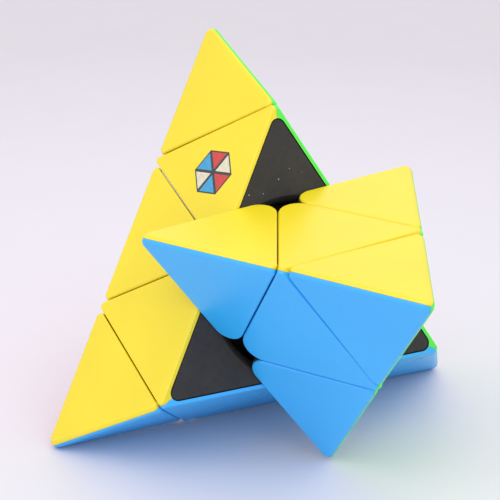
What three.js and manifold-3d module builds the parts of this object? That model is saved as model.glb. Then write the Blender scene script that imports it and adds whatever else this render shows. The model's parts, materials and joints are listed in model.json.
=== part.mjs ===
// Three-layer pyramid twisty puzzle: a core with four screwed axes, four turning tips, four axial
// pieces and six edge pieces, every outer piece being a dark body behind coloured face plates.
// Millimetres, +Z up. The puzzle stands with its front layer part-turned, on the ridge between its
// left and right vertices and on the one corner of the turned layer that reaches down to the table.
import * as THREE from 'three';
import { ConvexGeometry } from 'three/addons/geometries/ConvexGeometry.js';
import * as BufferGeometryUtils from 'three/addons/utils/BufferGeometryUtils.js';
import Module from 'manifold-3d';

const wasm = await Module();
wasm.setup();

// ---------------------------------------------------------------- driving dimensions
const EDGE = 100; // sharp ridge length of the whole pyramid, before its corners are rounded
const LAYER_TURN = 54.8; // degrees, front layer, clockwise seen from its vertex
const TIP_TURNS = { top: 1.2, left: -1.5, right: 0, front: -1 }; // degrees out of line, anticlockwise

const SEAM = 0.3; // gap between pieces that slide past each other
const FIT_GAP = 0.3; // gap between solids that are fixed to each other
const PLATE = 0.8; // thickness of a coloured face plate
const RIDGE_ROUND = 1.2; // rounding along the pyramid's ridges
const RIM_ROUND = 0.5; // rounding of the plates' other outer edges
const BODY_ROUND = 0.4; // rounding of the dark bodies' other edges
const CENTRE_CORNER = 4; // corner radius of the pieces at the middle of a face

const BOWL_RADIUS = 18.2; // spherical joint face between the edge pieces' feet and the axials
const FOOT_INNER = 9.6; // inner radius of the edge pieces' feet
const FOOT_ANGLE = THREE.MathUtils.degToRad(74); // a layer's feet end on this cone about its axis
const FOOT_PLAY = THREE.MathUtils.degToRad(0.75); // play each side of that cone
const LIP_RADIUS = 18.6; // sloped lip around the bowl, where it meets a layer's cut
const LIP_DEPTH = 1.4;

const CORE_RADIUS = 8.4;
const POST_RADIUS = 3.2; // the core's posts, which the axials turn on
const POST_TOP = 13;
const STEM_FOOT = 9;
const STEM_RADIUS = 5.1;
const NECK_RADIUS = 8.4;
const NECK_START = 15.6;

const SCREW_RADIUS = 1.3;
const SCREW_TIP = 3;
const HEAD_BOTTOM = 42.4;
const HEAD_HEIGHT = 2.2;
const HEAD_RADIUS = 2.8;
const DRIVE_WIDTH = 0.8; // cross recess in the screw head
const DRIVE_LENGTH = 3.2;
const DRIVE_DEPTH = 1.2;
const CUP_FLOOR = 37.4; // floor of the spring cup inside a tip
const CUP_RADIUS = 3.3;
const TIP_BODY_TOP = 47; // the tip's dark body is cut off flat here, under the three plates
const SPRING_TURNS = 3.5;
const WIRE_RADIUS = 0.32;

const ROUND_SEGMENTS = 24; // sides of the large turned shapes
const ROD_SEGMENTS = 12; // sides of the screws, posts and their holes
const ARC_SEGMENTS = 5;
const SLACK = 1; // how far cutting shapes reach past what they cut

// ---------------------------------------------------------------- tetrahedron geometry
const UNIT = EDGE / 3; // side of one small triangle
const FACE_DISTANCE = (UNIT * Math.sqrt(6)) / 4; // centre of the pyramid to a face
const VERTEX_DISTANCE = 3 * FACE_DISTANCE;
const LAYER_CUT = FACE_DISTANCE / 3; // centre to the cut under a vertex's two-layer cap
const TIP_CUT = (FACE_DISTANCE * 5) / 3; // centre to the cut under a tip

const UP = new THREE.Vector3(0, 0, 1);

// The direction from the centre to each vertex with the pyramid upright on its blue face,
// and the colour of the face opposite that vertex.
function lowerVertex(azimuthDegrees) {
  const azimuth = THREE.MathUtils.degToRad(azimuthDegrees);
  const reach = Math.sqrt(8) / 3;
  return new THREE.Vector3(reach * Math.cos(azimuth), reach * Math.sin(azimuth), -1 / 3);
}

const CORNERS = {
  top: { direction: UP.clone(), opposite: 'blue' },
  left: { direction: lowerVertex(150), opposite: 'green' },
  right: { direction: lowerVertex(30), opposite: 'yellow' },
  front: { direction: lowerVertex(-90), opposite: 'red' },
};
const NAMES = Object.keys(CORNERS);

function direction(name) {
  return CORNERS[name].direction;
}

function faceNormal(opposite) {
  return direction(opposite).clone().negate();
}

// ---------------------------------------------------------------- materials
function plastic(colour, roughness) {
  return new THREE.MeshStandardMaterial({ color: colour, roughness, metalness: 0 });
}

const MATERIALS = {
  yellow: plastic(0xfae84b, 0.32),
  blue: plastic(0x43a5f3, 0.32),
  green: plastic(0x64f550, 0.32),
  red: plastic(0xf25a6e, 0.32),
  dark: plastic(0x3c3a37, 0.6),
  steel: new THREE.MeshStandardMaterial({ color: 0xb9bcc0, roughness: 0.35, metalness: 1 }),
};

// ---------------------------------------------------------------- solids
function solid(geometry) {
  const bare = geometry.clone();
  bare.deleteAttribute('normal');
  bare.deleteAttribute('uv');
  const merged = BufferGeometryUtils.mergeVertices(bare, 1e-4);
  const mesh = new wasm.Mesh({
    numProp: 3,
    vertProperties: new Float32Array(merged.attributes.position.array),
    triVerts: new Uint32Array(merged.index.array),
  });
  return new wasm.Manifold(mesh);
}

function toGeometry(manifold) {
  const mesh = manifold.getMesh();
  const geometry = new THREE.BufferGeometry();
  geometry.setAttribute('position', new THREE.BufferAttribute(mesh.vertProperties, 3));
  geometry.setIndex(new THREE.BufferAttribute(mesh.triVerts, 1));
  geometry.computeVertexNormals();
  return geometry;
}

// A shape turned about an axis through the centre; the profile is [radius, distance] pairs that
// start and end on the axis, nearest end first.
function turned(profile, axis, segments = ROUND_SEGMENTS) {
  const points = profile.map(([radius, distance]) => new THREE.Vector2(radius, distance));
  const geometry = new THREE.LatheGeometry(points, segments);
  geometry.rotateX(Math.PI / 2);
  geometry.applyQuaternion(new THREE.Quaternion().setFromUnitVectors(UP, axis));
  return solid(geometry);
}

function rod(radius, from, to, axis) {
  return turned([[0, from], [radius, from], [radius, to], [0, to]], axis, ROD_SEGMENTS);
}

// Part of a ball about the centre: everything within an angle of the axis.
function sector(radius, halfAngle, axis) {
  const profile = [[0, 0]];
  for (let step = 0; step < ARC_SEGMENTS; step += 1) {
    const angle = halfAngle * (1 - step / ARC_SEGMENTS);
    profile.push([radius * Math.sin(angle), radius * Math.cos(angle)]);
  }
  profile.push([0, radius]);
  return turned(profile, axis);
}

function ball(radius, segments = ROUND_SEGMENTS) {
  const profile = [[0, -radius]];
  for (let step = 1; step < 2 * ARC_SEGMENTS; step += 1) {
    const angle = (Math.PI * step) / (2 * ARC_SEGMENTS);
    profile.push([radius * Math.sin(angle), -radius * Math.cos(angle)]);
  }
  profile.push([0, radius]);
  return turned(profile, UP, segments);
}

// A plane keeps the points whose distance along its normal is at most its reach.
function plane(normal, reach) {
  return { normal, reach };
}

function meet(first, second, third, inset) {
  const crossA = new THREE.Vector3().crossVectors(second.normal, third.normal);
  const crossB = new THREE.Vector3().crossVectors(third.normal, first.normal);
  const crossC = new THREE.Vector3().crossVectors(first.normal, second.normal);
  const volume = first.normal.dot(crossA);
  if (Math.abs(volume) < 1e-6) return null;
  return new THREE.Vector3()
    .addScaledVector(crossA, (first.reach - inset) / volume)
    .addScaledVector(crossB, (second.reach - inset) / volume)
    .addScaledVector(crossC, (third.reach - inset) / volume);
}

// Every corner of the convex solid inside a set of planes that are first moved inwards, each with
// the planes that touch it.
function cornersInside(planes, inset) {
  const tolerance = 1e-6;
  const corners = new Map();
  planes.forEach((first, i) => {
    planes.slice(i + 1).forEach((second, j) => {
      planes.slice(i + j + 2).forEach((third) => {
        const point = meet(first, second, third, inset);
        if (!point) return;
        const depth = (side) => side.reach - inset - point.dot(side.normal);
        if (planes.some((side) => depth(side) < -tolerance)) return;
        const key = point.toArray().map((value) => value.toFixed(4)).join();
        corners.set(key, { point, sides: planes.filter((side) => depth(side) < tolerance) });
      });
    });
  });
  return [...corners.values()];
}

// The convex solid inside a set of planes, with every edge and corner rounded to a radius.
function roundedSolid(planes, radius) {
  const corners = cornersInside(planes, radius);
  const points = [];
  const keep = (corner, ...sides) => {
    const outwards = new THREE.Vector3();
    sides.forEach((side) => outwards.add(side.normal));
    points.push(corner.point.clone().addScaledVector(outwards.normalize(), radius));
  };
  corners.forEach((corner) => {
    corner.sides.forEach((side) => keep(corner, side));
    keep(corner, ...corner.sides);
  });
  planes.forEach((first, index) => {
    planes.slice(index + 1).forEach((second) => {
      const ends = corners.filter(({ sides }) => sides.includes(first) && sides.includes(second));
      if (ends.length > 1) ends.forEach((corner) => keep(corner, first, second));
    });
  });
  return solid(new ConvexGeometry(points));
}

// The convex solid between cuts and outer faces. Where two outer faces meet, on a ridge of the
// pyramid, it has a radius of its own.
function ridgedSolid({ cuts, faces }, radius, ridgeRadius) {
  const farCuts = cuts.map(({ normal, reach }) => plane(normal, reach + 3 * ridgeRadius));
  return roundedSolid([...cuts, ...faces], radius)
    .intersect(roundedSolid([...farCuts, ...faces], ridgeRadius));
}

// A block that fills the space beyond a plane.
function beyond(normal, reach) {
  const block = new THREE.BoxGeometry(3 * EDGE, 3 * EDGE, EDGE);
  block.translate(0, 0, reach + EDGE / 2);
  return solid(block.applyQuaternion(new THREE.Quaternion().setFromUnitVectors(UP, normal)));
}

// ---------------------------------------------------------------- the outer pieces' shapes
// Each kind of piece is bounded by planes through its cuts and by the pyramid's own faces.
// "depth" is how far its outer sides lie below those faces, and "gap" how far its sides stay
// clear of the cuts.
function cutAbove(name, distance, gap) {
  return plane(direction(name).clone().negate(), -(distance + gap));
}

function cutBelow(name, distance, gap) {
  return plane(direction(name), distance - gap);
}

function outerFaces(faces, depth) {
  return faces.map((face) => plane(faceNormal(face), FACE_DISTANCE - depth));
}

function others(...names) {
  return NAMES.filter((name) => !names.includes(name));
}

function tipSides([name], depth, gap = SEAM / 2) {
  return { cuts: [cutAbove(name, TIP_CUT, gap)], faces: outerFaces(others(name), depth) };
}

function axialSides([name], depth, gap = SEAM / 2) {
  const neighbours = others(name);
  return {
    cuts: [
      cutAbove(name, LAYER_CUT, gap),
      cutBelow(name, TIP_CUT, gap),
      ...neighbours.map((neighbour) => cutBelow(neighbour, LAYER_CUT, gap)),
    ],
    faces: outerFaces(neighbours, depth),
  };
}

function edgeSides([first, second], depth, gap = SEAM / 2) {
  return {
    cuts: [cutAbove(first, LAYER_CUT, gap), cutAbove(second, LAYER_CUT, gap)],
    faces: outerFaces(others(first, second), depth),
  };
}

// ---------------------------------------------------------------- corners at a face's middle
// Six pieces meet in the middle of a face, each with its corner rounded. This column is what is cut
// away: it lies between the sharp 60-degree corner and its arc, along the face's normal.
function cornerColumn(face, names) {
  const normal = faceNormal(face);
  const inwards = new THREE.Vector3();
  names.forEach((name) => inwards.add(direction(name)));
  inwards.projectOnPlane(normal).normalize();
  const across = new THREE.Vector3().crossVectors(normal, inwards);
  const margin = 3 * SLACK;
  const sideX = 1.5 * CENTRE_CORNER - margin / 2;
  const sideY = ((CENTRE_CORNER + margin) * Math.sqrt(3)) / 2;
  const outline = new THREE.Shape();
  outline.moveTo(sideX, -sideY);
  outline.lineTo(-2 * margin, 0);
  outline.lineTo(sideX, sideY);
  outline.absarc(2 * CENTRE_CORNER, 0, CENTRE_CORNER, (2 * Math.PI) / 3, (4 * Math.PI) / 3, false);
  outline.closePath();
  const bottom = BOWL_RADIUS - 2 * SLACK;
  const column = new THREE.ExtrudeGeometry(outline, {
    depth: FACE_DISTANCE + SLACK - bottom,
    bevelEnabled: false,
    curveSegments: ARC_SEGMENTS,
  });
  column.translate(0, 0, bottom);
  return solid(column.applyMatrix4(new THREE.Matrix4().makeBasis(inwards, across, normal)));
}

function roundCentreCorners(shape, faces, names) {
  return faces.reduce((rest, face) => rest.subtract(cornerColumn(face, names)), shape);
}

// ---------------------------------------------------------------- coloured face plates
// A piece's coloured skin, all its plates in one: its form less the hollow that the body fills.
function skin(sides, owners) {
  const hollow = sides(owners, PLATE, -2 * SLACK);
  return ridgedSolid(sides(owners, 0), RIM_ROUND, RIDGE_ROUND)
    .subtract(ridgedSolid(hollow, RIM_ROUND, RIDGE_ROUND + FIT_GAP));
}

// The part of a skin on one face. Plates of one piece meet in a mitre on the ridge.
function facePlate(whole, face, neighbours) {
  return neighbours.reduce((rest, neighbour) => {
    const normal = faceNormal(neighbour).sub(faceNormal(face)).normalize();
    return rest.subtract(beyond(normal, -FIT_GAP / 2));
  }, whole);
}

// ---------------------------------------------------------------- dark bodies
const clearBowl = ball(BOWL_RADIUS + SEAM / 2);

// The lip around the bowl where a layer's cut passes through it, on both sides of the cut.
function lip(name) {
  const bottom = LIP_RADIUS - LIP_DEPTH;
  return turned([
    [0, LAYER_CUT - LIP_DEPTH],
    [bottom, LAYER_CUT - LIP_DEPTH],
    [LIP_RADIUS, LAYER_CUT],
    [bottom, LAYER_CUT + LIP_DEPTH],
    [0, LAYER_CUT + LIP_DEPTH],
  ], direction(name));
}

function bodyForm(sides, owners) {
  return ridgedSolid(sides(owners, PLATE + FIT_GAP), BODY_ROUND, RIDGE_ROUND);
}

function tipBody(name) {
  const axis = direction(name);
  return bodyForm(tipSides, [name])
    .subtract(beyond(axis, TIP_BODY_TOP))
    .subtract(rod(CUP_RADIUS, CUP_FLOOR, TIP_BODY_TOP + SLACK, axis))
    .subtract(rod(SCREW_RADIUS + FIT_GAP, TIP_CUT - SLACK, TIP_BODY_TOP, axis));
}

function axialBody(name) {
  const axis = direction(name);
  const stem = turned([
    [0, STEM_FOOT],
    [STEM_RADIUS, STEM_FOOT],
    [STEM_RADIUS, STEM_FOOT + SLACK],
    [NECK_RADIUS, NECK_START],
    [NECK_RADIUS, BOWL_RADIUS + 2 * SLACK],
    [0, BOWL_RADIUS + 2 * SLACK],
  ], axis);
  const cap = NAMES.reduce(
    (rest, neighbour) => rest.subtract(lip(neighbour)),
    bodyForm(axialSides, [name]).subtract(clearBowl),
  );
  const drilled = cap
    .add(stem)
    .subtract(rod(POST_RADIUS + FIT_GAP, STEM_FOOT - SLACK, POST_TOP + FIT_GAP, axis))
    .subtract(rod(SCREW_RADIUS + FIT_GAP, POST_TOP, TIP_CUT + SLACK, axis));
  return roundCentreCorners(drilled, others(name), [name]);
}

// An edge body's foot fills the ball between its two axes and hooks under the neighbours' bowls.
function edgeBody([first, second]) {
  const reach = FOOT_ANGLE - FOOT_PLAY;
  const foot = sector(BOWL_RADIUS - SEAM / 2, reach, direction(first))
    .intersect(sector(BOWL_RADIUS - SEAM / 2, reach, direction(second)));
  const whole = bodyForm(edgeSides, [first, second]).add(foot).subtract(ball(FOOT_INNER));
  const faces = others(first, second);
  const cleared = faces.reduce((rest, other) => (
    rest.subtract(sector(BOWL_RADIUS + SEAM / 2, FOOT_ANGLE + FOOT_PLAY, direction(other)))
  ), whole);
  return roundCentreCorners(cleared, faces, [first, second]);
}

// ---------------------------------------------------------------- core, screws and springs
function coreSolid() {
  return NAMES.reduce((rest, name) => {
    const axis = direction(name);
    const hole = rod(SCREW_RADIUS + FIT_GAP, SCREW_TIP - FIT_GAP, POST_TOP + SLACK, axis);
    return rest.add(rod(POST_RADIUS, 0, POST_TOP, axis)).subtract(hole);
  }, ball(CORE_RADIUS, ROD_SEGMENTS));
}

function screwSolid() {
  const top = HEAD_BOTTOM + HEAD_HEIGHT;
  const blank = turned([
    [0, SCREW_TIP],
    [SCREW_RADIUS / 2, SCREW_TIP],
    [SCREW_RADIUS, SCREW_TIP + SCREW_RADIUS],
    [SCREW_RADIUS, HEAD_BOTTOM],
    [HEAD_RADIUS, HEAD_BOTTOM],
    [HEAD_RADIUS, top - HEAD_HEIGHT / 2],
    [HEAD_RADIUS * 0.7, top],
    [0, top],
  ], UP, ROD_SEGMENTS);
  const sizes = [[DRIVE_LENGTH, DRIVE_WIDTH], [DRIVE_WIDTH, DRIVE_LENGTH]];
  return sizes.reduce((rest, [long, wide]) => {
    const slot = new THREE.BoxGeometry(long, wide, 2 * DRIVE_DEPTH).translate(0, 0, top);
    return rest.subtract(solid(slot));
  }, blank);
}

class SpringCoil extends THREE.Curve {
  getPoint(t, target = new THREE.Vector3()) {
    const bottom = CUP_FLOOR + FIT_GAP + WIRE_RADIUS;
    const top = HEAD_BOTTOM - FIT_GAP - WIRE_RADIUS;
    const angle = 2 * Math.PI * SPRING_TURNS * t;
    const radius = SCREW_RADIUS + FIT_GAP + WIRE_RADIUS;
    return target.set(radius * Math.cos(angle), radius * Math.sin(angle), bottom + (top - bottom) * t);
  }
}

function springGeometry() {
  const section = new THREE.Shape().absarc(0, 0, WIRE_RADIUS, 0, 2 * Math.PI, false);
  return new THREE.ExtrudeGeometry(section, {
    steps: Math.round(SPRING_TURNS * 9),
    curveSegments: 3,
    bevelEnabled: false,
    extrudePath: new SpringCoil(),
  });
}

// ---------------------------------------------------------------- assembly
const puzzle = new THREE.Group();
const frontLayer = new THREE.Group();
frontLayer.quaternion.setFromAxisAngle(direction('front'), -THREE.MathUtils.degToRad(LAYER_TURN));
puzzle.add(frontLayer);

function place(name, geometry, material, group = puzzle) {
  const mesh = new THREE.Mesh(geometry, MATERIALS[material]);
  mesh.name = name;
  group.add(mesh);
  return mesh;
}

function groupOf(owners) {
  return owners.includes('front') ? frontLayer : puzzle;
}

// A piece is its dark body and one plate on each of its outer faces. It belongs to the vertices it
// is named after, and turns with the front layer if front is one of them.
function addPiece(kind, owners, body, outer, group = groupOf(owners)) {
  const name = [kind, ...owners].join('_');
  const faces = others(...owners);
  place(`${name}_body`, toGeometry(body), 'dark', group);
  faces.forEach((face) => {
    const colour = CORNERS[face].opposite;
    const plate = facePlate(outer, face, faces.filter((other) => other !== face));
    place(`${name}_${colour}`, toGeometry(plate), colour, group);
  });
}

function addTip(name) {
  const turn = THREE.MathUtils.degToRad(TIP_TURNS[name]);
  const group = new THREE.Group();
  group.quaternion.setFromAxisAngle(direction(name), turn);
  groupOf([name]).add(group);
  addPiece('tip', [name], tipBody(name), skin(tipSides, [name]), group);
}

function addAxial(name) {
  const outer = roundCentreCorners(skin(axialSides, [name]), others(name), [name]);
  addPiece('axial', [name], axialBody(name), outer);
}

function addEdge(...pair) {
  const outer = roundCentreCorners(skin(edgeSides, pair), others(...pair), pair);
  addPiece('edge', pair, edgeBody(pair), outer);
}

place('core', toGeometry(coreSolid()), 'dark');
const screwGeometry = toGeometry(screwSolid());
const coilGeometry = springGeometry();
NAMES.forEach((name, index) => {
  const screw = place(`screw_${name}`, screwGeometry, 'steel');
  const spring = place(`spring_${name}`, coilGeometry, 'steel');
  screw.quaternion.setFromUnitVectors(UP, direction(name));
  spring.quaternion.copy(screw.quaternion);
  addTip(name);
  addAxial(name);
  NAMES.slice(index + 1).forEach((other) => addEdge(name, other));
});

// ---------------------------------------------------------------- standing on the table
// Leaning the puzzle back about the ridge between left and right brings the turned layer down;
// the lean at which it just touches the table is found by halving.
function lowest(object) {
  puzzle.updateMatrixWorld(true);
  return new THREE.Box3().setFromObject(object, true).min.z;
}

function cornerHeight(lean) {
  puzzle.rotation.x = -lean;
  const ridge = lowest(puzzle.getObjectByName('edge_left_right_blue'));
  return lowest(frontLayer) - ridge;
}

function settledLean() {
  let touching = 0;
  let clear = Math.PI / 3;
  for (let round = 0; round < 24; round += 1) {
    const middle = (touching + clear) / 2;
    if (cornerHeight(middle) > 0) clear = middle;
    else touching = middle;
  }
  return clear;
}

puzzle.rotation.x = -settledLean();
puzzle.updateMatrixWorld(true);
const box = new THREE.Box3().setFromObject(puzzle, true);
const centre = box.getCenter(new THREE.Vector3());
puzzle.position.set(-centre.x, -centre.y, -box.min.z);

const part = new THREE.Group();
part.add(puzzle);

export default part;
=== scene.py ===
"""Looks of a three-layer pyramid twisty puzzle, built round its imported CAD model.

The shape code works in millimetres about the puzzle's centre, on four corners named A to D. onto() then turns
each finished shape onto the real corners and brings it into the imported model's frame, in metres.
"""

import json
import math
from itertools import combinations

import bmesh
import bpy
from mathutils import Matrix, Quaternion, Vector


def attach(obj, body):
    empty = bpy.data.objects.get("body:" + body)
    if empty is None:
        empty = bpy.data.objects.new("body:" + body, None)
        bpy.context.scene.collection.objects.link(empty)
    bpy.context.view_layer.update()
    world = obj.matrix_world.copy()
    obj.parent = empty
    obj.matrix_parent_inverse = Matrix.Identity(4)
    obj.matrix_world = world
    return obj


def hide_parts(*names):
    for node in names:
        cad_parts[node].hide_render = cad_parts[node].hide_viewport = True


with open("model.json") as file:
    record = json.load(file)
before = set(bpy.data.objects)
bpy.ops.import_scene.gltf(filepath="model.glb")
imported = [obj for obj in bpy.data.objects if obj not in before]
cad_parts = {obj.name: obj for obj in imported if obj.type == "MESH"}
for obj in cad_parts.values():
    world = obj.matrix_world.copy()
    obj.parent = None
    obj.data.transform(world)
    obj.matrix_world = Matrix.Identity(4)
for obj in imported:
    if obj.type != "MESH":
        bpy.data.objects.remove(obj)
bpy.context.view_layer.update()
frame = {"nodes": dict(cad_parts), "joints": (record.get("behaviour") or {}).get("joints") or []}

# ------------------------------------------------------------------ dimensions (mm)
# The CAD's layout, with finer seams, plates and roundings.
EDGE = 100.0
LAYER_TURN = math.radians(54.8)
TIP_TURNS = {"top": 1.2, "left": -1.5, "right": 0.0, "front": -1.0}  # degrees out of line, anticlockwise
SEAM = 0.22  # between plates that slide past each other
BODY_SEAM = 0.13  # between the dark bodies under them
FIT_GAP = 0.25  # between a coloured plate and the dark body under it
MITRE_GAP = 0.04  # between two plates of one piece, on a ridge
PLATE = 0.75
RIDGE_ROUND = 1.2  # rounding along the pyramid's ridges
INNER_RIDGE_ROUND = 1.7  # rounding of the dark bodies under them
RIM_ROUND = 0.42  # rounding of the plates' other outer edges
BODY_ROUND = 0.1  # rounding of the dark bodies' other edges
CENTRE_CORNER = 4.0  # corner radius of the pieces at the middle of a face
PLATE_CORNER = 0.5  # radius added at a plate's other corners

BOWL_RADIUS = 18.2
FOOT_INNER = 9.6
FOOT_ANGLE = math.radians(74)
FOOT_PLAY = math.radians(0.75)
LIP_RADIUS = 19.6
LIP_ROUND = 2.6
LIP_CREASE = math.radians(10)  # the angle at which its rounding meets the cut

STEM_FOOT = 9.0
STEM_RADIUS = 5.1
NECK_RADIUS = 8.4
NECK_START = 15.6
POST_RADIUS = 3.2
POST_TOP = 13.0
SOCKET_WALL = 1.0  # straight wall at the stem's foot, and above the post
BITE = 2.0  # how far a part goes into the one it is joined to
SCREW_RADIUS = 1.3
BORE_GAP = 0.3
CUP_FLOOR = 37.4
CUP_RADIUS = 3.3
TIP_BODY_TOP = 47.0

BADGE_UP = 19.2  # from the middle of the face, towards the top vertex
BADGE_ASIDE = 0.5
BADGE_RADIUS = 5.4
BADGE_LEAN = 3.0  # degrees
BADGE_SHARE = 0.8  # how much of its sixth a small triangle fills
BADGE_RISE = 0.015
BADGE_SINK = 0.1

UNIT = EDGE / 3
FACE_DISTANCE = UNIT * math.sqrt(6) / 4
VERTEX_DISTANCE = 3 * FACE_DISTANCE
LAYER_CUT = FACE_DISTANCE / 3
TIP_CUT = FACE_DISTANCE * 5 / 3
SIN_60_SQUARED = 0.75
SHARP = math.acos(1 / 3)  # between two sides of a tip or an edge piece
BLUNT = math.pi - SHARP  # between two sides of an axial piece

REACH = 4.0  # how far cutting shapes go past what they cut
COLUMN_MARGIN = 3.0  # the same, for the columns that round the bodies' corners
ARC_STEPS = 8
CORNER_STEPS = 12
TURN_STEPS = 96
METRES = 0.001
TINY = 1e-6
NEAR = 1e-4  # points closer than this are one

# ------------------------------------------------------------------ the real corners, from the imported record
JOINTS = {joint["name"]: joint for joint in frame["joints"]}
NAMES = ("top", "left", "right", "front")
CENTRE = Vector(JOINTS["front_layer_turn"]["pos_m"])
AXES = {name: Vector(JOINTS[f"{name}_tip_turn"]["axis"]).normalized() for name in NAMES}
OPPOSITE = {"top": "blue", "left": "green", "right": "yellow", "front": "red"}


# ------------------------------------------------------------------ the shape code's own corners
def low_corner(azimuth_degrees):
    azimuth = math.radians(azimuth_degrees)
    out = math.sqrt(8) / 3
    return Vector((out * math.cos(azimuth), out * math.sin(azimuth), -1 / 3))


UP = Vector((0, 0, 1))
A, B, C, D = UP, low_corner(150), low_corner(30), low_corner(-90)


def face_middle(opposite):
    return -opposite * FACE_DISTANCE


def third(near, far):
    """The point on the ridge between two corners, a third of the way from the first."""
    return (near * 2 + far) * (VERTEX_DISTANCE / 3)


# ------------------------------------------------------------------ meshes
def mesh_from(bm, name):
    bmesh.ops.recalc_face_normals(bm, faces=bm.faces)
    mesh = bpy.data.meshes.new(name)
    bm.to_mesh(mesh)
    bm.free()
    return mesh


def combined(mesh, operation, *others):
    """A mesh with others taken away from it (DIFFERENCE), added (UNION) or kept in common (INTERSECT)."""
    for other in others:
        target = bpy.data.objects.new("boolean_target", mesh)
        tool = bpy.data.objects.new("boolean_tool", other)
        for part in (target, tool):
            bpy.context.scene.collection.objects.link(part)
        modifier = target.modifiers.new("boolean", "BOOLEAN")
        modifier.operation = operation
        modifier.solver = "EXACT"
        modifier.object = tool
        depsgraph = bpy.context.evaluated_depsgraph_get()
        mesh = bpy.data.meshes.new_from_object(target.evaluated_get(depsgraph))
        bpy.data.objects.remove(target)
        bpy.data.objects.remove(tool)
    return mesh


def turned(profile, axis, steps=TURN_STEPS):
    """A solid turned about an axis through the centre. The (radius, height) points start and end on it."""
    bm = bmesh.new()
    swing = UP.rotation_difference(axis)
    rings = []
    for radius, height in profile:
        if radius < TINY:
            rings.append([bm.verts.new(swing @ Vector((0, 0, height)))])
            continue
        angles = [2 * math.pi * step / steps for step in range(steps)]
        rings.append([
            bm.verts.new(swing @ Vector((radius * math.cos(angle), radius * math.sin(angle), height)))
            for angle in angles
        ])
    for low, high in zip(rings, rings[1:]):
        for step in range(steps):
            after = (step + 1) % steps
            lower = [low[step % len(low)], low[after % len(low)]]
            upper = [high[after % len(high)], high[step % len(high)]]
            corners = list(dict.fromkeys(lower + upper))
            if len(corners) > 2:
                bm.faces.new(corners)
    return mesh_from(bm, "turned")


def rod(radius, start, end, axis):
    return turned([(0, start), (radius, start), (radius, end), (0, end)], axis, TURN_STEPS // 2)


def arc(radius, start, end, steps, centre=(0, 0)):
    """Points on an arc in a turning profile; angles are from the axis."""
    angles = [start + (end - start) * step / steps for step in range(steps + 1)]
    return [(centre[0] + radius * math.sin(angle), centre[1] + radius * math.cos(angle)) for angle in angles]


def ball(radius):
    steps = TURN_STEPS // 2
    inner = arc(radius, math.pi, 0, steps)[1:-1]
    return turned([(0, -radius), *inner, (0, radius)], UP)


def sector(radius, half_angle, axis):
    """The part of a ball within an angle of an axis."""
    inner = arc(radius, half_angle, 0, TURN_STEPS // 4)[:-1]
    return turned([(0, 0), *inner, (0, radius)], axis)


def directions(normals, steps):
    """Directions that fill the arc or patch between normals, the normals among them."""
    if not normals:
        return [Vector((0, 0, 0))]
    if len(normals) == 1:
        return [normals[0].copy()]
    found = []
    for trio in combinations(normals, 3) if len(normals) > 2 else [(*normals, normals[1])]:
        for i in range(steps + 1):
            for j in range(steps + 1 - i):
                between = trio[0] * i + trio[1] * j + trio[2] * (steps - i - j)
                if between.length > TINY:
                    found.append(between.normalized())
    return found


def rounded_hull(sides, radius):
    """The convex solid inside planes given as (normal, reach), with every edge and corner rounded."""
    inner = [(normal, reach - radius) for normal, reach in sides]
    bm = bmesh.new()
    for trio in combinations(inner, 3):
        normals = Matrix([normal for normal, _ in trio])
        if abs(normals.determinant()) < TINY:
            continue
        corner = normals.inverted() @ Vector([reach for _, reach in trio])
        if any(corner.dot(normal) > reach + NEAR for normal, reach in inner):
            continue
        touching = [normal for normal, reach in inner if corner.dot(normal) > reach - NEAR]
        for out in directions(touching, ARC_STEPS):
            bm.verts.new(corner + out * radius)
    bmesh.ops.remove_doubles(bm, verts=bm.verts, dist=NEAR)
    hull = bmesh.ops.convex_hull(bm, input=bm.verts)
    unused = hull["geom_interior"] + hull["geom_unused"]
    loose = {item for item in unused if isinstance(item, bmesh.types.BMVert)}
    bmesh.ops.delete(bm, geom=list(loose), context="VERTS")
    bmesh.ops.dissolve_limit(bm, angle_limit=math.radians(0.3), verts=bm.verts, edges=bm.edges)
    return mesh_from(bm, "hull")


def ridged_hull(walls, faces, wall_round, face_round):
    """A rounded hull whose edges between two faces have a radius of their own."""
    far = [(normal, reach + 3 * face_round) for normal, reach in walls]
    return combined(
        rounded_hull([*walls, *faces], wall_round), "INTERSECT", rounded_hull([*far, *faces], face_round)
    )


# ------------------------------------------------------------------ the three kinds of outer piece
# walls are its cuts, faces its sides on the outside of the pyramid, both as (normal, reach).
def cut_above(corner, distance, gap):
    return (-corner, -(distance + gap))


def cut_below(corner, distance, gap):
    return (corner, distance - gap)


KINDS = {
    "tip": {
        "opposite": (D, B, C),
        "outline": (A * VERTEX_DISTANCE, third(A, B), third(A, C)),
        "ridges": (True, False, True),
        "dihedral": SHARP,
        "walls": lambda gap: [cut_above(A, TIP_CUT, gap)],
    },
    "axial": {
        "opposite": (D, B, C),
        "outline": (face_middle(D), third(A, B), third(A, C)),
        "ridges": (False, False, False),
        "dihedral": BLUNT,
        "walls": lambda gap: [
            cut_above(A, LAYER_CUT, gap),
            cut_below(A, TIP_CUT, gap),
            *[cut_below(corner, LAYER_CUT, gap) for corner in (B, C, D)],
        ],
    },
    "edge": {
        "opposite": (D, C),
        "outline": (face_middle(D), third(A, B), third(B, A)),
        "ridges": (False, True, False),
        "dihedral": SHARP,
        "walls": lambda gap: [cut_above(A, LAYER_CUT, gap), cut_above(B, LAYER_CUT, gap)],
    },
}


def outer_faces(kind, depth):
    return [(-opposite, FACE_DISTANCE - depth) for opposite in KINDS[kind]["opposite"]]


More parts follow.
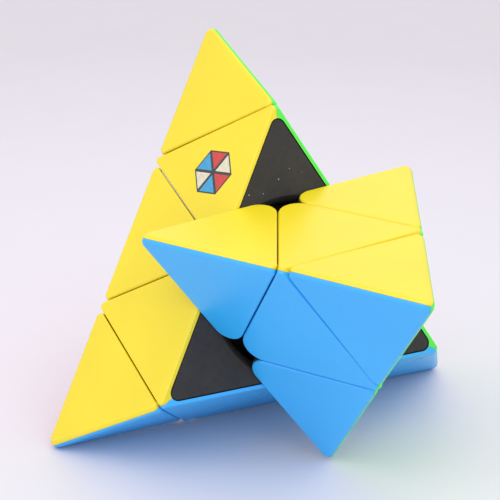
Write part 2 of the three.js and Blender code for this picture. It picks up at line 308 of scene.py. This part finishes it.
# ------------------------------------------------------------------ coloured plates
def slab(outline, ridges, dihedral, depth):
    """A triangle with a rounded rim and sloping walls, as deep as asked.

    Each side is rounded as a ridge or as a cut. The corner at the middle of a face has a large radius.
    """
    normal = (outline[1] - outline[0]).cross(outline[2] - outline[0]).normalized()
    if normal.dot(outline[0]) < 0:
        normal.negate()
    middle = sum(outline, Vector()) / 3
    outwards = []
    for start, end in zip(outline, outline[1:] + outline[:1]):
        out = (end - start).cross(normal).normalized()
        outwards.append(out if out.dot(start - middle) > 0 else -out)
    bends = [RIDGE_ROUND if ridge else RIM_ROUND for ridge in ridges]
    gaps = [0 if ridge else SEAM / 2 / math.sin(dihedral) for ridge in ridges]
    insets = [bend / math.tan(dihedral / 2) + gap for bend, gap in zip(bends, gaps)]
    corners = []
    for index, point in enumerate(outline):
        at_middle = abs(point.length - FACE_DISTANCE) < TINY
        radius = CENTRE_CORNER - insets[index] if at_middle else PLATE_CORNER
        before, after = outwards[index - 1], outwards[index]
        # The point this far inside both sides of a 60 degree corner is where the corner's arc has its centre.
        first, second = insets[index - 1] + radius, insets[index] + radius
        shift = (before * (first + second / 2) + after * (second + first / 2)) / SIN_60_SQUARED
        for step in range(CORNER_STEPS + 1):
            share = step / CORNER_STEPS
            angle = math.radians(120)
            out = before * math.sin(angle * (1 - share)) + after * math.sin(angle * share)
            bend = bends[index - 1] * (1 - share) + bends[index] * share
            corners.append((point - shift, out / math.sin(angle), radius, bend))
    bm = bmesh.new()
    loops = []
    for step in range(ARC_STEPS + 2):
        turn = (math.pi - dihedral) * step / ARC_STEPS
        loop = []
        for centre, out, radius, bend in corners:
            offset, down = bend * math.sin(turn), bend * (1 - math.cos(turn))
            if step > ARC_STEPS:
                offset, down = bend / math.tan(dihedral / 2) - depth / math.tan(dihedral), depth
            loop.append(bm.verts.new(centre + out * (radius + offset) - normal * down))
        loops.append(loop)
    count = len(corners)
    for upper, lower in zip(loops, loops[1:]):
        for index in range(count):
            after = (index + 1) % count
            bm.faces.new((upper[index], upper[after], lower[after], lower[index]))
    bm.faces.new(loops[0])
    bm.faces.new(loops[-1])
    bmesh.ops.remove_doubles(bm, verts=bm.verts, dist=1e-5)
    bmesh.ops.recalc_face_normals(bm, faces=bm.faces)
    return bm


def cut_flat(bm, normal, reach):
    """Keeps what lies below a plane, and closes the cut."""
    geometry = list(bm.verts) + list(bm.edges) + list(bm.faces)
    bmesh.ops.bisect_plane(
        bm, geom=geometry, dist=TINY, plane_co=normal * reach, plane_no=normal, clear_outer=True
    )
    bmesh.ops.holes_fill(bm, edges=[edge for edge in bm.edges if edge.is_boundary], sides=0)


def plate(kind):
    """The coloured plate on the first of a piece's outer faces, hollowed to clear the dark body."""
    form = KINDS[kind]
    bm = slab(form["outline"], form["ridges"], form["dihedral"], PLATE + INNER_RIDGE_ROUND)
    own, *siblings = form["opposite"]
    for sibling in siblings:
        cut_flat(bm, (own - sibling).normalized(), -MITRE_GAP / 2)
    hollow = rounded_hull([*form["walls"](-REACH), *outer_faces(kind, PLATE)], INNER_RIDGE_ROUND + FIT_GAP)
    return combined(mesh_from(bm, f"{kind}_plate"), "DIFFERENCE", hollow)


# ------------------------------------------------------------------ dark bodies
def shell(kind):
    return ridged_hull(
        KINDS[kind]["walls"](BODY_SEAM / 2), outer_faces(kind, PLATE + FIT_GAP), BODY_ROUND, INNER_RIDGE_ROUND
    )


def corner_column(opposite, owners):
    """What is cut off a body's corner at a face's middle: a column between the sharp corner and an arc."""
    normal = -opposite
    inwards = sum(owners, Vector())
    inwards = (inwards - normal * inwards.dot(normal)).normalized()
    across = normal.cross(inwards)
    side = (1.5 * CENTRE_CORNER - COLUMN_MARGIN / 2, (CENTRE_CORNER + COLUMN_MARGIN) * math.sqrt(0.75))
    outline = [(-2 * COLUMN_MARGIN, 0.0), side]
    for step in range(CORNER_STEPS + 1):
        angle = math.radians(120 + 120 * step / CORNER_STEPS)
        outline.append((CENTRE_CORNER * (2 + math.cos(angle)), CENTRE_CORNER * math.sin(angle)))
    outline.append((side[0], -side[1]))
    bm = bmesh.new()
    levels = []
    for height in (BOWL_RADIUS - BITE, FACE_DISTANCE + REACH):
        levels.append([bm.verts.new(inwards * x + across * y + normal * height) for x, y in outline])
    for index in range(len(outline)):
        after = (index + 1) % len(outline)
        bm.faces.new((levels[0][index], levels[0][after], levels[1][after], levels[1][index]))
    bm.faces.new(levels[0])
    bm.faces.new(levels[1])
    return mesh_from(bm, "column")


def lip(axis):
    """Rounds the lip of the bowl where a layer's cut passes through it, on both sides of the cut."""
    across, along = LIP_ROUND * math.sin(LIP_CREASE), LIP_ROUND * math.cos(LIP_CREASE)
    centre = LIP_RADIUS + across
    below = arc(LIP_ROUND, -math.pi / 2, -LIP_CREASE, ARC_STEPS, (centre, LAYER_CUT - along))
    above = arc(LIP_ROUND, math.pi + LIP_CREASE, 1.5 * math.pi, ARC_STEPS, (centre, LAYER_CUT + along))
    return turned([(0, LAYER_CUT - along), *below, *above[1:], (0, LAYER_CUT + along)], axis)


def tip_body():
    over = turned([(0, TIP_BODY_TOP), (UNIT, TIP_BODY_TOP), (UNIT, EDGE), (0, EDGE)], A)
    cup = rod(CUP_RADIUS, CUP_FLOOR, EDGE, A)
    bore = rod(SCREW_RADIUS + BORE_GAP, TIP_CUT - REACH, CUP_FLOOR + REACH, A)
    return combined(shell("tip"), "DIFFERENCE", over, cup, bore)


def axial_body():
    stem = turned([
        (0, STEM_FOOT),
        (STEM_RADIUS, STEM_FOOT),
        (STEM_RADIUS, STEM_FOOT + SOCKET_WALL),
        (NECK_RADIUS, NECK_START),
        (NECK_RADIUS, BOWL_RADIUS + BITE),
        (0, BOWL_RADIUS + BITE),
    ], A)
    lips = [lip(corner) for corner in (A, B, C, D)]
    cap = combined(shell("axial"), "DIFFERENCE", ball(BOWL_RADIUS + SEAM / 2), *lips)
    bores = [
        rod(POST_RADIUS + BORE_GAP, STEM_FOOT - REACH, POST_TOP + BORE_GAP, A),
        rod(SCREW_RADIUS + BORE_GAP, POST_TOP - SOCKET_WALL, TIP_CUT + REACH, A),
    ]
    columns = [corner_column(opposite, [A]) for opposite in (B, C, D)]
    return combined(combined(cap, "UNION", stem), "DIFFERENCE", *bores, *columns)


def edge_body():
    foot = ball(BOWL_RADIUS - SEAM / 2)
    cones = [sector(2 * BOWL_RADIUS, FOOT_ANGLE - FOOT_PLAY, corner) for corner in (A, B)]
    whole = combined(combined(foot, "INTERSECT", *cones), "UNION", shell("edge"))
    cleared = [sector(BOWL_RADIUS + SEAM / 2, FOOT_ANGLE + FOOT_PLAY, corner) for corner in (C, D)]
    columns = [corner_column(opposite, [A, B]) for opposite in (C, D)]
    return combined(whole, "DIFFERENCE", ball(FOOT_INNER), *cleared, *columns)


# ------------------------------------------------------------------ node helpers
def new_material(name):
    material = bpy.data.materials.new(name)
    material.use_nodes = True
    nodes = material.node_tree.nodes
    nodes.clear()
    output = nodes.new("ShaderNodeOutputMaterial")
    shader = nodes.new("ShaderNodeBsdfPrincipled")
    material.node_tree.links.new(shader.outputs["BSDF"], output.inputs["Surface"])
    return material, shader


def add(material, kind, inputs=None, **settings):
    node = material.node_tree.nodes.new(kind)
    for name, value in settings.items():
        setattr(node, name, value)
    for name, value in (inputs or {}).items():
        if isinstance(value, bpy.types.NodeSocket):
            material.node_tree.links.new(value, node.inputs[name])
        else:
            node.inputs[name].default_value = value
    return node


def connect(material, socket, shader, name):
    material.node_tree.links.new(socket, shader.inputs[name])


def noise(material, scale, detail=3.0, roughness=0.5):
    where = add(material, "ShaderNodeTexCoord")
    inputs = {"Vector": where.outputs["Object"], "Scale": scale, "Detail": detail, "Roughness": roughness}
    return add(material, "ShaderNodeTexNoise", inputs).outputs["Fac"]


def spread(material, value, low, high, start=0.35, end=0.65):
    inputs = {"Value": value, "From Min": start, "From Max": end, "To Min": low, "To Max": high}
    return add(material, "ShaderNodeMapRange", inputs).outputs["Result"]


def mixed(material, factor, first, second):
    node = add(material, "ShaderNodeMix", data_type="RGBA")
    for name, value in (("Factor", factor), ("A", first), ("B", second)):
        sockets = [socket for socket in node.inputs if socket.name == name and socket.enabled]
        socket = sockets[-1]
        if isinstance(value, bpy.types.NodeSocket):
            material.node_tree.links.new(value, socket)
        else:
            socket.default_value = value
    return [socket for socket in node.outputs if socket.enabled][0]


def tint(colour, factor):
    return (*[min(1.0, channel * factor) for channel in colour], 1.0)


# ------------------------------------------------------------------ materials
def satin_plastic(name, colour, shade):
    """Moulded, lightly frosted plastic, a little uneven in colour and gloss."""
    material, shader = new_material(name)
    cloud = spread(material, noise(material, 55.0), 0.0, 1.0)
    flow = spread(material, noise(material, 420.0, 2.0), 0.0, 0.35)
    base = mixed(material, cloud, tint(colour, 0.97), tint(colour, 1.03))
    base = mixed(material, flow, base, (*shade, 1.0))
    connect(material, base, shader, "Base Color")
    connect(material, spread(material, noise(material, 1300.0, 4.0), 0.30, 0.38), shader, "Roughness")
    shader.inputs["Specular IOR Level"].default_value = 0.8
    grain = noise(material, 5200.0, 3.0)
    bump = add(material, "ShaderNodeBump", {"Height": grain, "Strength": 0.025, "Distance": 0.00005})
    connect(material, bump.outputs["Normal"], shader, "Normal")
    return material


def charcoal_plastic():
    """Matt dark plastic with faint mottling and a few specks of dust."""
    material, shader = new_material("charcoal_plastic")
    cloud = spread(material, noise(material, 160.0, 5.0, 0.6), 0.0, 1.0, 0.3, 0.7)
    base = mixed(material, cloud, (0.019, 0.018, 0.017, 1.0), (0.029, 0.027, 0.025, 1.0))
    where = add(material, "ShaderNodeTexCoord")
    cells = add(material, "ShaderNodeTexVoronoi", {"Vector": where.outputs["Object"], "Scale": 420.0})
    near = spread(material, cells.outputs["Distance"], 1.0, 0.0, 0.035, 0.065)
    hue = add(material, "ShaderNodeSeparateColor", {"Color": cells.outputs["Color"]})
    chosen = add(material, "ShaderNodeMath", {0: hue.outputs[0], 1: 0.4}, operation="GREATER_THAN")
    speck = add(material, "ShaderNodeMath", {0: near, 1: chosen.outputs[0]}, operation="MULTIPLY")
    base = mixed(material, speck.outputs[0], base, (0.45, 0.45, 0.44, 1.0))
    connect(material, base, shader, "Base Color")
    connect(material, spread(material, noise(material, 900.0, 4.0), 0.5, 0.66), shader, "Roughness")
    grain = noise(material, 2600.0, 5.0)
    bump = add(material, "ShaderNodeBump", {"Height": grain, "Strength": 0.2, "Distance": 0.0001})
    connect(material, bump.outputs["Normal"], shader, "Normal")
    return material


def bright_steel():
    material, shader = new_material("bright_steel")
    cloud = spread(material, noise(material, 300.0), 0.0, 1.0)
    base = mixed(material, cloud, (0.52, 0.53, 0.55, 1.0), (0.66, 0.66, 0.67, 1.0))
    connect(material, base, shader, "Base Color")
    connect(material, spread(material, noise(material, 2400.0, 4.0), 0.22, 0.4), shader, "Roughness")
    shader.inputs["Metallic"].default_value = 1.0
    return material


def print_ink(name, colour):
    material, shader = new_material(name)
    cloud = spread(material, noise(material, 1500.0, 4.0), 0.0, 1.0)
    connect(material, mixed(material, cloud, tint(colour, 0.9), tint(colour, 1.06)), shader, "Base Color")
    connect(material, spread(material, noise(material, 3000.0), 0.32, 0.45), shader, "Roughness")
    return material


def pale_floor_painted_shade():
    """Matt pale board whose colour is painted a little darker away from the middle: painted shade of the light
    falling off.
    """
    material, shader = new_material("pale_floor_painted_shade")
    cloud = spread(material, noise(material, 2.5, 2.0), 0.0, 1.0)
    near = mixed(material, cloud, (0.75, 0.725, 0.755, 1.0), (0.77, 0.745, 0.775, 1.0))
    # Painted shade: past a distance from the middle, the colour is mixed towards a darker one, standing in for
    # the light's falloff.
    where = add(material, "ShaderNodeTexCoord")
    distance = add(material, "ShaderNodeVectorMath", {0: where.outputs["Object"]}, operation="LENGTH")
    far = spread(material, distance.outputs["Value"], 0.0, 1.0, FLOOR_PAINTED_SHADE_START, FLOOR_PAINTED_SHADE_END)
    connect(material, mixed(material, far, near, (0.64, 0.60, 0.625, 1.0)), shader, "Base Color")
    connect(material, spread(material, noise(material, 60.0), 0.5, 0.6), shader, "Roughness")
    return material


PLASTICS = {
    "yellow": satin_plastic("yellow_satin", (0.885, 0.71, 0.008), (0.885, 0.69, 0.006)),
    "blue": satin_plastic("blue_satin", (0.03, 0.465, 1.0), (0.028, 0.445, 0.98)),
    "green": satin_plastic("green_satin", (0.09, 0.88, 0.06), (0.08, 0.85, 0.05)),
    "red": satin_plastic("red_satin", (0.86, 0.08, 0.14), (0.83, 0.07, 0.12)),
}
INKS = {
    "black": print_ink("black_ink", (0.05, 0.05, 0.055)),
    "blue": print_ink("blue_ink", (0.05, 0.36, 0.62)),
    "cream": print_ink("cream_ink", (0.72, 0.68, 0.50)),
    "red": print_ink("red_ink", (0.62, 0.06, 0.05)),
}
CHARCOAL = charcoal_plastic()
STEEL = bright_steel()


# ------------------------------------------------------------------ putting shapes in place
def onto(kind, owners, face):
    """Turns the shape code's corners onto the real ones.

    A (and B, for an edge) goes onto the owners, and D onto the face's opposite corner. Of the orders that are
    left, it takes the one that is a rotation and not a mirror image.
    """
    rest = [name for name in NAMES if name not in owners and name != face]
    if len(owners) == 1:
        orders = [(owners[0], *rest), (owners[0], *reversed(rest))]
    else:
        orders = [(*owners, rest[0]), (*reversed(owners), rest[0])]
    source = Matrix((A, B, C)).transposed().inverted()
    for order in orders:
        turn = Matrix([AXES[name] for name in order]).transposed() @ source
        if turn.determinant() > 0:
            placed = Matrix.Translation(CENTRE) @ turn.to_4x4() @ Matrix.Scale(METRES, 4)
            break
    if kind == "tip":
        twist = Matrix.Rotation(math.radians(TIP_TURNS[owners[0]]), 4, AXES[owners[0]])
        placed = Matrix.Translation(CENTRE) @ twist @ Matrix.Translation(-CENTRE) @ placed
    if "front" in owners:
        back = Matrix.Translation(CENTRE) @ Matrix.Rotation(-LAYER_TURN, 4, AXES["front"])
        placed = back @ Matrix.Translation(-CENTRE) @ placed
    return placed


def make_object(name, mesh, material, transform):
    mesh = mesh.copy()
    mesh.name = name
    mesh.transform(transform)
    mesh.materials.clear()
    mesh.materials.append(material)
    mesh.shade_smooth()
    mesh.set_sharp_from_angle(angle=math.radians(32))
    piece = bpy.data.objects.new(name, mesh)
    bpy.context.scene.collection.objects.link(piece)
    weighted = piece.modifiers.new("even_shading", "WEIGHTED_NORMAL")
    weighted.keep_sharp = True
    return piece


def moving_body(kind, owners):
    if kind == "tip":
        return f"{owners[0]}_tip"
    return "front_layer" if "front" in owners else "base"


def build_piece(kind, owners, plate_mesh, body_mesh):
    name = "_".join((kind, *owners))
    rides = moving_body(kind, owners)
    faces = [face for face in NAMES if face not in owners]
    body = make_object(f"{name}_moulding", body_mesh, CHARCOAL, onto(kind, owners, faces[0]))
    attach(body, rides)
    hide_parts(f"{name}_body")
    for face in faces:
        colour = OPPOSITE[face]
        shown = make_object(f"{name}_{colour}_plate", plate_mesh, PLASTICS[colour], onto(kind, owners, face))
        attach(shown, rides)
        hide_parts(f"{name}_{colour}")


def flat_shape(points, normal, low, high, name):
    """A thin prism on a face: its outline moved out along the face's normal."""
    bm = bmesh.new()
    levels = [[bm.verts.new(point + normal * height) for point in points] for height in (low, high)]
    for index in range(len(points)):
        after = (index + 1) % len(points)
        bm.faces.new((levels[0][index], levels[0][after], levels[1][after], levels[1][index]))
    bm.faces.new(levels[0])
    bm.faces.new(levels[1])
    return mesh_from(bm, name)


def build_badge():
    """A printed rosette of six small triangles on the top axial's yellow plate."""
    normal = -D
    towards = (A - normal * A.dot(normal)).normalized()
    across = normal.cross(towards)
    middle = face_middle(D) + towards * BADGE_UP + across * BADGE_ASIDE

    def spot(radius, degrees):
        angle = math.radians(degrees)
        return middle + (towards * math.cos(angle) + across * math.sin(angle)) * radius

    place = onto("axial", ("top",), "right")
    ring = [spot(BADGE_RADIUS, BADGE_LEAN + 60 * step) for step in range(6)]
    shapes = [("backing", "black", flat_shape(ring, normal, -BADGE_SINK, BADGE_RISE, "backing"))]
    for step, colour in enumerate(("blue", "cream", "blue", "red", "cream", "red")):
        turn = BADGE_LEAN + 60 * step
        heart = spot(BADGE_RADIUS / math.sqrt(3), turn + 30)
        corners = [spot(0, 0), spot(BADGE_RADIUS, turn), spot(BADGE_RADIUS, turn + 60)]
        corners = [heart + (corner - heart) * BADGE_SHARE for corner in corners]
        shape = flat_shape(corners, normal, -BADGE_SINK, 2 * BADGE_RISE, "petal")
        shapes.append((f"{colour}_{step + 1}", colour, shape))
    for name, ink, mesh in shapes:
        badge = make_object(f"badge_{name}", mesh, INKS[ink], place)
        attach(badge, "base")


def build_puzzle():
    bodies = {"tip": tip_body(), "axial": axial_body(), "edge": edge_body()}
    plates = {kind: plate(kind) for kind in KINDS}
    for name in NAMES:
        build_piece("tip", (name,), plates["tip"], bodies["tip"])
        build_piece("axial", (name,), plates["axial"], bodies["axial"])
    for pair in combinations(NAMES, 2):
        build_piece("edge", pair, plates["edge"], bodies["edge"])


def finish_inner_parts():
    for name, node in frame["nodes"].items():
        if name == "core" or name.startswith(("screw_", "spring_")):
            node.data.materials.clear()
            node.data.materials.append(CHARCOAL if name == "core" else STEEL)


# ------------------------------------------------------------------ camera, floor and light (m)
CAMERA_AZIMUTH = math.radians(28.374)
CAMERA_ELEVATION = math.radians(22.418)
CAMERA_ROLL = math.radians(-2.154)
CAMERA_DISTANCE = 0.37598
CAMERA_LENS = 128.80
AIM = CENTRE + Vector((-0.004608, 0.005627, 0.006693))

FLOOR_RADIUS = 4.0
FLOOR_PAINTED_SHADE_START = 0.07  # from the middle to where the floor's painted shade starts
FLOOR_PAINTED_SHADE_END = 0.30  # and to where the painted shade is darkest
FLOOR_DROP = 0.00015  # how far the plates' corners reach below the frame's zero


def aimed_along(view, roll=0.0):
    """The turn that points a camera or light along a direction."""
    right = view.cross(UP).normalized()
    above = right.cross(view)
    up = above * math.cos(roll) + right * math.sin(roll)
    return Matrix((view.cross(up), up, -view)).transposed().to_4x4()


def build_camera():
    view = Vector((
        math.sin(CAMERA_AZIMUTH) * math.cos(CAMERA_ELEVATION),
        math.cos(CAMERA_AZIMUTH) * math.cos(CAMERA_ELEVATION),
        -math.sin(CAMERA_ELEVATION),
    ))
    data = bpy.data.cameras.new("camera")
    data.lens = CAMERA_LENS
    data.sensor_width = 36.0
    data.clip_start = 0.01
    data.clip_end = 20.0
    camera = bpy.data.objects.new("camera", data)
    turn = aimed_along(view, CAMERA_ROLL)
    camera.matrix_world = Matrix.Translation(AIM - view * CAMERA_DISTANCE) @ turn
    bpy.context.scene.collection.objects.link(camera)
    bpy.context.scene.camera = camera


def build_floor():
    bm = bmesh.new()
    bmesh.ops.create_circle(bm, cap_ends=True, segments=TURN_STEPS, radius=FLOOR_RADIUS)
    mesh = mesh_from(bm, "floor")
    mesh.materials.append(pale_floor_painted_shade())
    floor = bpy.data.objects.new("floor", mesh)
    floor.location.z = -FLOOR_DROP
    bpy.context.scene.collection.objects.link(floor)


def soft_light(name, azimuth, elevation, distance, size, power, colour):
    """A round soft light aimed at the puzzle, in degrees, metres and watts. Azimuth 0 is the front."""
    data = bpy.data.lights.new(name, "AREA")
    data.shape = "DISK"
    data.size = size
    data.energy = power
    data.color = colour
    light = bpy.data.objects.new(name, data)
    azimuth, elevation = math.radians(azimuth), math.radians(elevation)
    away = Vector((
        math.sin(azimuth) * math.cos(elevation),
        -math.cos(azimuth) * math.cos(elevation),
        math.sin(elevation),
    ))
    light.matrix_world = Matrix.Translation(CENTRE + away * distance) @ aimed_along(-away)
    bpy.context.scene.collection.objects.link(light)


def build_lights():
    world = bpy.data.worlds.new("studio")
    world.use_nodes = True
    background = world.node_tree.nodes["Background"]
    background.inputs["Color"].default_value = (0.93, 0.93, 1.0, 1.0)
    background.inputs["Strength"].default_value = 0.86
    bpy.context.scene.world = world
    soft_light("left", -85, 38, 1.1, 1.0, 2.3, (1.0, 0.98, 0.97))
    soft_light("right", 80, 40, 1.0, 1.0, 1.6, (0.98, 0.98, 1.0))
    soft_light("back", 162, 32, 2.2, 2.0, 2.8, (1.0, 0.99, 1.0))
    soft_light("front", -24, 68, 1.0, 1.4, 4.0, (0.99, 0.98, 1.0))


scene = bpy.context.scene
scene.view_settings.view_transform = "Standard"
scene.view_settings.look = "None"

build_puzzle()
build_badge()
finish_inner_parts()
build_camera()
build_floor()
build_lights()
